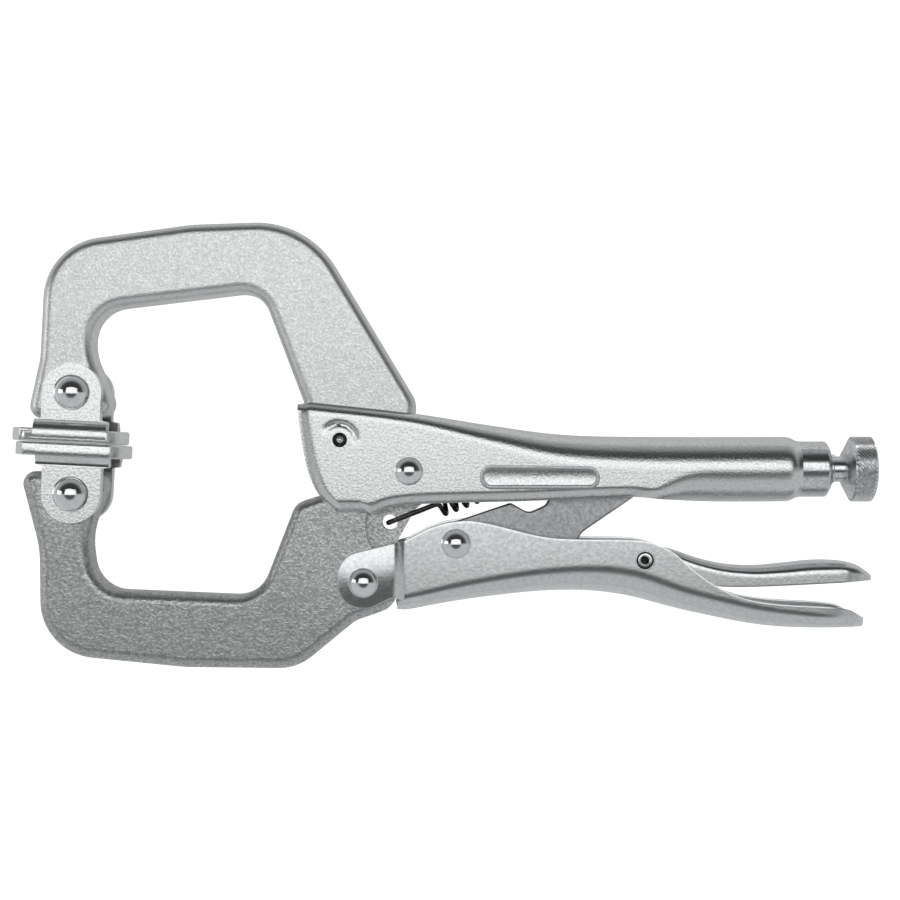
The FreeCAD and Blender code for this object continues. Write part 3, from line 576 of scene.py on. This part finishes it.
def leverWhere(u, v):
    spec = leverSheet
    x = spec["start"] + (spec["end"] - spec["start"]) * u
    half = curveAt(spec["plan"], x)
    top, low = curveAt(spec["top"], x), curveAt(spec["low"], x)
    fold = min(curveAt(spec["fold"], x), top - low - 0.1, half - 0.1)
    path = [(half, low)] + arcPoints((half - fold, top - fold), fold, 0, 90, 12) + [(0.0, top + 0.25)]
    path = resample(path, 31)
    side = 1 if v >= 0.5 else -1
    spot = (1 - abs(v - 0.5) * 2) * 30
    k = min(29, int(spot))
    z = path[k][0] + (path[k + 1][0] - path[k][0]) * (spot - k)
    y = path[k][1] + (path[k + 1][1] - path[k][1]) * (spot - k)
    return place(x, y, side * z)


releaseLever = sheetShell("releaseLever", 110, 62, leverWhere, leverSheet["wall"], leverSheet["edge"])
drillHole(releaseLever, joints["release_press"], 1.72)
dressed(releaseLever, smoothPlate, "lever", "stamped", "release_lever")
tongue = {"corners": [(21.8, -21.05, 0.3), (27.4, -21.05, 0), (27.4, -22.25, 0), (21.8, -22.25, 0.3)], "half": 4.4}
leverTongue = plate("leverTongue", roundedOutline(tongue["corners"], 4), -tongue["half"], tongue["half"], 0.2)
dressed(leverTongue, smoothPlate, "lever", "stamped")
print("release lever folded")


knobSpec = {"face": 69.6, "rimStart": 71.0, "end": 74.7, "radius": 5.7, "diamonds": 44, "rows": 11, "depth": 0.34}
screwSpec = {"start": 41.85, "end": 74.3, "major": 2.7, "minor": 2.12, "pitch": 1.058, "steps": 28}


def turnedPiece(profile, segments=96):
    # a closed profile of (x, radius) spun about the screw's axis
    bm = bmesh.new()
    verts = [bm.verts.new((x * mm, screwAxis + radius * mm, midHeight)) for x, radius in profile]
    edges = [bm.edges.new((verts[i], verts[(i + 1) % len(verts)])) for i in range(len(verts))]
    bmesh.ops.spin(
        bm, geom=verts + edges, cent=(0, screwAxis, midHeight), axis=(1, 0, 0), angle=2 * math.pi, steps=segments,
        use_merge=True)
    bmesh.ops.remove_doubles(bm, verts=bm.verts, dist=0.0005 * mm)
    bmesh.ops.recalc_face_normals(bm, faces=bm.faces)
    return bm


def threadedScrew():
    spec = screwSpec
    bm = turnedPiece([
        (spec["start"], 0.0), (spec["start"], 2.0), (spec["start"] + 0.4, 2.25), (spec["end"], 2.25), (spec["end"], 0.0)])
    first = spec["start"] + 0.9
    tooth = [(-0.44, 2.05), (0.44, 2.05), (0.08, spec["major"]), (-0.08, spec["major"])]
    verts = [bm.verts.new(((first + x * spec["pitch"]) * mm, screwAxis + r * mm, midHeight)) for x, r in tooth]
    face = bm.faces.new(verts)
    turns = int((knobSpec["face"] - 0.5 - first) / spec["pitch"])
    bmesh.ops.spin(
        bm, geom=[face], cent=(0, screwAxis, midHeight), axis=(1, 0, 0), dvec=(spec["pitch"] * mm / spec["steps"], 0, 0),
        angle=2 * math.pi * turns, steps=spec["steps"] * turns, use_merge=False)
    bmesh.ops.recalc_face_normals(bm, faces=bm.faces)
    return bm


screwThread = finishMesh("adjustingScrew", threadedScrew(), turnedPlate, "screw", ["adjusting_screw"])
sharpen(screwThread, 35)


def knurledKnob():
    spec = knobSpec
    rise = (spec["end"] - 0.35 - spec["rimStart"]) / spec["rows"]
    profile = [(spec["face"], 1.7), (spec["face"], 3.2), (spec["face"] + 0.2, 3.5), (spec["rimStart"] - 0.3, 5.15)]
    profile += [(spec["rimStart"] + rise * k, spec["radius"] - spec["depth"]) for k in range(spec["rows"] + 1)]
    profile += [(spec["end"], 5.0), (spec["end"], 1.7)]
    bm = turnedPiece(profile, spec["diamonds"] * 2)
    centre = Vector((0, screwAxis, midHeight))
    for vert in bm.verts:
        across = Vector((0, vert.co.y, vert.co.z)) - centre
        row = (vert.co.x / mm - spec["rimStart"]) / rise
        onRim = -0.01 < row < spec["rows"] + 0.01 and across.length > (spec["radius"] - spec["depth"] - 0.02) * mm
        if onRim and abs(row - round(row)) < 0.01:
            step = round(math.atan2(across.z, across.y) / (math.pi / spec["diamonds"]))
            if (step + round(row)) % 2 == 0:
                vert.co += across.normalized() * spec["depth"] * mm
    bmesh.ops.triangulate(bm, faces=[f for f in bm.faces if f.calc_center_median().x > spec["rimStart"] * mm])
    return bm


knob = finishMesh("screwKnob", knurledKnob(), turnedPlate, "screw", ["screw_knob"], smooth=False)
for face in knob.data.polygons:
    face.use_smooth = face.center.x < knobSpec["rimStart"] * mm
print("screw cut and knurled")


springSpec = {
    "hole": (-9.6, -13.56, 0), "slope": 20.9, "wire": 0.42, "coil": 2.22, "turns": 7, "coilStart": 9.17,
    "coilLength": 13.65, "tail": 4.2, "loop": 2.2,
}


def wireAlong(name, route, radius):
    # a smooth round wire through the route's points, as a closed mesh
    curve = bpy.data.curves.new(name, "CURVE")
    curve.dimensions = "3D"
    curve.bevel_depth = radius * mm
    curve.bevel_resolution = 4
    curve.use_fill_caps = True
    curve.resolution_u = 4
    spline = curve.splines.new("NURBS")
    spline.points.add(len(route) - 1)
    for point, spot in zip(spline.points, route):
        point.co = (*spot, 1)
    spline.order_u = 4
    spline.use_endpoint_u = True
    holder = bpy.data.objects.new(name + "Curve", curve)
    bpy.context.scene.collection.objects.link(holder)
    graph = bpy.context.evaluated_depsgraph_get()
    mesh = bpy.data.meshes.new_from_object(holder.evaluated_get(graph))
    bpy.data.objects.remove(holder)
    piece = bpy.data.objects.new(name, mesh)
    bpy.context.scene.collection.objects.link(piece)
    for face in mesh.polygons:
        face.use_smooth = True
    return piece


def springRoute(hole):
    spec = springSpec
    slope = math.radians(spec["slope"])
    along = Vector((math.cos(slope), math.sin(slope), 0))
    sideways = Vector((-along.y, along.x, 0))

    def at(distance, aside, high):
        return hole + (along * distance + sideways * aside + Vector((0, 0, high))) * mm

    route = [at(spec["coilStart"] - 0.4, 0.0, -spec["loop"]), at(7.0, -0.1, -spec["loop"]),
             at(1.2, -0.1, -spec["loop"]), at(-0.1, 0.0, -spec["loop"] + 0.3), at(-0.35, 0.0, -0.8),
             at(-0.35, 0.0, 0.8), at(-0.1, 0.0, spec["loop"] - 0.3), at(1.2, 0.1, spec["loop"]),
             at(7.0, 0.1, spec["loop"]), at(spec["coilStart"] - 1.0, 0.1, spec["loop"])]
    perTurn = 14
    for k in range(int(spec["turns"] * perTurn) + 1):
        turn = 2 * math.pi * k / perTurn
        # the first turn is tucked in where it passes the jaw's knuckle
        across = -math.sin(turn) * spec["coil"] * (0.86 if math.pi < turn < 2 * math.pi else 1.0)
        route.append(at(spec["coilStart"] + spec["coilLength"] * k / (spec["turns"] * perTurn),
                        across, math.cos(turn) * spec["coil"]))
    end = spec["coilStart"] + spec["coilLength"]
    route += [at(end + 0.6, 0.4, 0.6), at(end + 1.4, 0.0, 0.0), at(end + spec["tail"] - 0.6, 0.0, 0.0)]
    return route, at(3.0, 0, 0), at(end, 0, 0)


route, springStart, springEnd = springRoute(place(*springSpec["hole"]))
spring = wireAlong("returnSpring", route, springSpec["wire"])
spring.data.materials.append(springSteel)
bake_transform(spring)
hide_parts("return_spring")
print("spring wound")


padSpec = {"radius": 10.0, "sheet": 2.3, "reach": 8.65, "barHalf": 6.3, "tilt": -2.8, "earRadius": 5.0}


def padPieces(label, joint, halfTurn, body, node):
    # drawn about the rivet with the face at -reach, then turned and moved onto the pivot
    spec = padSpec
    offset = -1.0 if halfTurn == 0 else 1.0
    low = -spec["reach"]
    bm = bmesh.new()
    bmesh.ops.create_cone(
        bm, cap_ends=True, segments=96, radius1=spec["radius"] * mm, radius2=spec["radius"] * mm,
        depth=spec["sheet"] * mm, matrix=Matrix.Translation((offset * mm, (low + spec["sheet"] / 2) * mm, 0))
        @ Matrix.Rotation(math.pi / 2, 4, "X"))
    for side in (-1, 1):
        bmesh.ops.bisect_plane(
            bm, geom=bm.verts[:] + bm.edges[:] + bm.faces[:], plane_co=(0, 0, side * 6.6 * mm),
            plane_no=(0, 0, side), clear_outer=True)
        bmesh.ops.holes_fill(bm, edges=[e for e in bm.edges if e.is_boundary], sides=0)
    rims = [e for e in bm.edges if e.calc_face_angle(0) > 1.0]
    bmesh.ops.bevel(
        bm, geom=rims, offset=0.35 * mm, offset_type="OFFSET", segments=3, profile=0.5, affect="EDGES", material=-1)
    # each ear: a flat plate with a rounded top that steps out over the bends to the face
    for side in (-1, 1):
        profile = [(spec["earRadius"] + 0.0, 5.15), (low + 3.75, 5.15), (low + 3.35, 4.95), (low + 2.95, 5.35),
                   (low + 1.5, 5.75), (low + 0.75, 5.6), (low + 0.2, 5.1), (low + 0.2, 3.9), (spec["earRadius"], 3.9)]
        profile = [(y, z + 1.0 if z > 4.5 else z) for y, z in profile]
        verts = [bm.verts.new((-spec["barHalf"] * mm, y * mm, side * z * mm)) for y, z in profile]
        face = bm.faces.new(verts)
        grown = bmesh.ops.extrude_face_region(bm, geom=[face])
        far = [g for g in grown["geom"] if isinstance(g, bmesh.types.BMVert)]
        bmesh.ops.translate(bm, verts=far, vec=(2 * spec["barHalf"] * mm, 0, 0))
    bmesh.ops.recalc_face_normals(bm, faces=bm.faces)
    mesh = bpy.data.meshes.new(label)
    bm.to_mesh(mesh)
    bm.free()
    piece = bpy.data.objects.new(label, mesh)
    bpy.context.scene.collection.objects.link(piece)
    trimEars(piece)
    rim = piece.modifiers.new("rim", "BEVEL")
    rim.width = 0.42 * mm
    rim.segments = 3
    rim.limit_method = "ANGLE"
    rim.angle_limit = math.radians(48)
    applyModifiers(piece)
    turn = Matrix.Rotation(math.radians(spec["tilt"] + halfTurn), 4, "Z")
    piece.data.transform(Matrix.Translation(joints[joint]) @ turn)
    return dressed(piece, sheetPlate, body, "stamped", node)


def trimEars(piece):
    # rounds the ears' tops by keeping what lies inside a tall rounded outline
    ear = padSpec["earRadius"]
    low = -padSpec["reach"]
    outline = roundedOutline([(-11.5, low - 1, 0), (11.5, low - 1, 0), (11.5, low + 2.6, 0), (6.35, low + 2.6, 0),
                              (6.35, low + 3.9, 0.5), (ear + 0.05, low + 4.0, 0.3), (ear + 0.05, ear, ear - 0.05),
                              (-ear - 0.05, ear, ear - 0.05), (-ear - 0.05, low + 4.0, 0.3), (-6.35, low + 3.9, 0.5),
                              (-6.35, low + 2.6, 0), (-11.5, low + 2.6, 0)], 10)
    bm = bmesh.new()
    face = bm.faces.new([bm.verts.new((p.x * mm, p.y * mm, -9 * mm)) for p in outline])
    grown = bmesh.ops.extrude_face_region(bm, geom=[face])
    far = [g for g in grown["geom"] if isinstance(g, bmesh.types.BMVert)]
    bmesh.ops.translate(bm, verts=far, vec=(0, 0, 18 * mm))
    bmesh.ops.recalc_face_normals(bm, faces=bm.faces)
    mesh = bpy.data.meshes.new("keep")
    bm.to_mesh(mesh)
    bm.free()
    keep = bpy.data.objects.new("keep", mesh)
    bpy.context.scene.collection.objects.link(keep)
    cut = piece.modifiers.new("keep", "BOOLEAN")
    cut.object = keep
    cut.operation = "INTERSECT"
    cut.solver = "EXACT"
    cut.use_self = True
    applyModifiers(piece)
    bpy.data.objects.remove(keep)


padPieces("upperPad", "upper_pad_swivel", 0, "upper_swivel", "upper_pad")
padPieces("lowerPad", "lower_pad_swivel", 180, "lower_swivel", "lower_pad")
print("pads folded")


def softBox(name, spot, aim, sizeMm, watts):
    light = bpy.data.lights.new(name, "AREA")
    light.shape = "RECTANGLE"
    light.size, light.size_y = sizeMm[0] * mm, sizeMm[1] * mm
    light.energy = watts
    holder = bpy.data.objects.new(name, light)
    bpy.context.scene.collection.objects.link(holder)
    holder.location = Vector(spot) * mm
    direction = Vector(aim) * mm - holder.location
    holder.rotation_euler = direction.to_track_quat("-Z", "Y").to_euler()


bm = bmesh.new()
bmesh.ops.create_grid(bm, x_segments=1, y_segments=1, size=3000 * mm)
floorMesh = bpy.data.meshes.new("floor")
bm.to_mesh(floorMesh)
bm.free()
floor = bpy.data.objects.new("floor", floorMesh)
bpy.context.scene.collection.objects.link(floor)
paper = bpy.data.materials.new("paper")
paper.use_nodes = True
paperShader = paper.node_tree.nodes["Principled BSDF"]
paperShader.inputs["Base Color"].default_value = (0.93, 0.93, 0.93, 1)
paperShader.inputs["Roughness"].default_value = 0.9
paperShader.inputs["Emission Color"].default_value = (1, 1, 1, 1)
# the paper is white to the eye, and grey in the metal's reflections
seen = paper.node_tree.nodes.new("ShaderNodeLightPath")
glow = paper.node_tree.nodes.new("ShaderNodeMapRange")
glow.inputs["To Min"].default_value = 0.16
glow.inputs["To Max"].default_value = 0.94
joined(paper.node_tree, seen.outputs["Is Camera Ray"], glow.inputs["Value"])
joined(paper.node_tree, glow.outputs["Result"], paperShader.inputs["Emission Strength"])
floorMesh.materials.append(paper)

# the studio's walls: (degrees from overhead, brightness), behind the clamp and in front of it
wallsBehind = [(0, 0.5), (27, 0.5), (34, 0.03), (58, 0.05), (78, 0.34), (180, 0.34)]
wallsInFront = [(0, 0.30), (9, 0.08), (24, 0.10), (40, 0.50), (84, 0.52), (104, 0.12), (180, 0.10)]


def wallRamp(tree, stops):
    ramp = tree.nodes.new("ShaderNodeValToRGB")
    ramp.color_ramp.interpolation = "EASE"
    levels = sorted((0.5 + 0.5 * math.cos(math.radians(angle)), level) for angle, level in stops)
    while len(ramp.color_ramp.elements) < len(levels):
        ramp.color_ramp.elements.new(0.5)
    for element, (position, level) in zip(ramp.color_ramp.elements, levels):
        element.position = position
        element.color = (level, level * 1.02, level * 1.03, 1)
    return ramp


def studio():
    world = bpy.data.worlds.new("studio")
    bpy.context.scene.world = world
    world.use_nodes = True
    tree = world.node_tree
    coords = tree.nodes.new("ShaderNodeTexCoord")
    parts = tree.nodes.new("ShaderNodeSeparateXYZ")
    height = tree.nodes.new("ShaderNodeMapRange")
    height.inputs["From Min"].default_value = -1.0
    sideways = tree.nodes.new("ShaderNodeMapRange")
    sideways.inputs["From Min"].default_value = -0.10
    sideways.inputs["From Max"].default_value = 0.10
    blend = tree.nodes.new("ShaderNodeMix")
    blend.data_type = "RGBA"
    behind, inFront = wallRamp(tree, wallsBehind), wallRamp(tree, wallsInFront)
    joined(tree, coords.outputs["Generated"], parts.inputs[0])
    joined(tree, parts.outputs["Z"], height.inputs["Value"])
    joined(tree, parts.outputs["Y"], sideways.inputs["Value"])
    for ramp, side in ((inFront, "A"), (behind, "B")):
        joined(tree, height.outputs["Result"], ramp.inputs["Fac"])
        joined(tree, ramp.outputs["Color"], blend.inputs[side])
    joined(tree, sideways.outputs["Result"], blend.inputs["Factor"])
    joined(tree, blend.outputs["Result"], tree.nodes["Background"].inputs["Color"])


studio()
softBox("above", (0, 136, 640), (0, 136, 0), (800, 407), 0.72)
softBox("left", (-560, 60, 260), (0, 0, 0), (160, 300), 0.22)

camera = bpy.data.cameras.new("camera")
camera.lens = 68.6
camera.sensor_width = 36
cameraHolder = bpy.data.objects.new("camera", camera)
bpy.context.scene.collection.objects.link(cameraHolder)
cameraHolder.location = (0.875 * mm, -0.9625 * mm, midHeight + 300 * mm)
camera.clip_start = 0.01
bpy.context.scene.camera = cameraHolder
bpy.context.scene.view_settings.view_transform = "Standard"
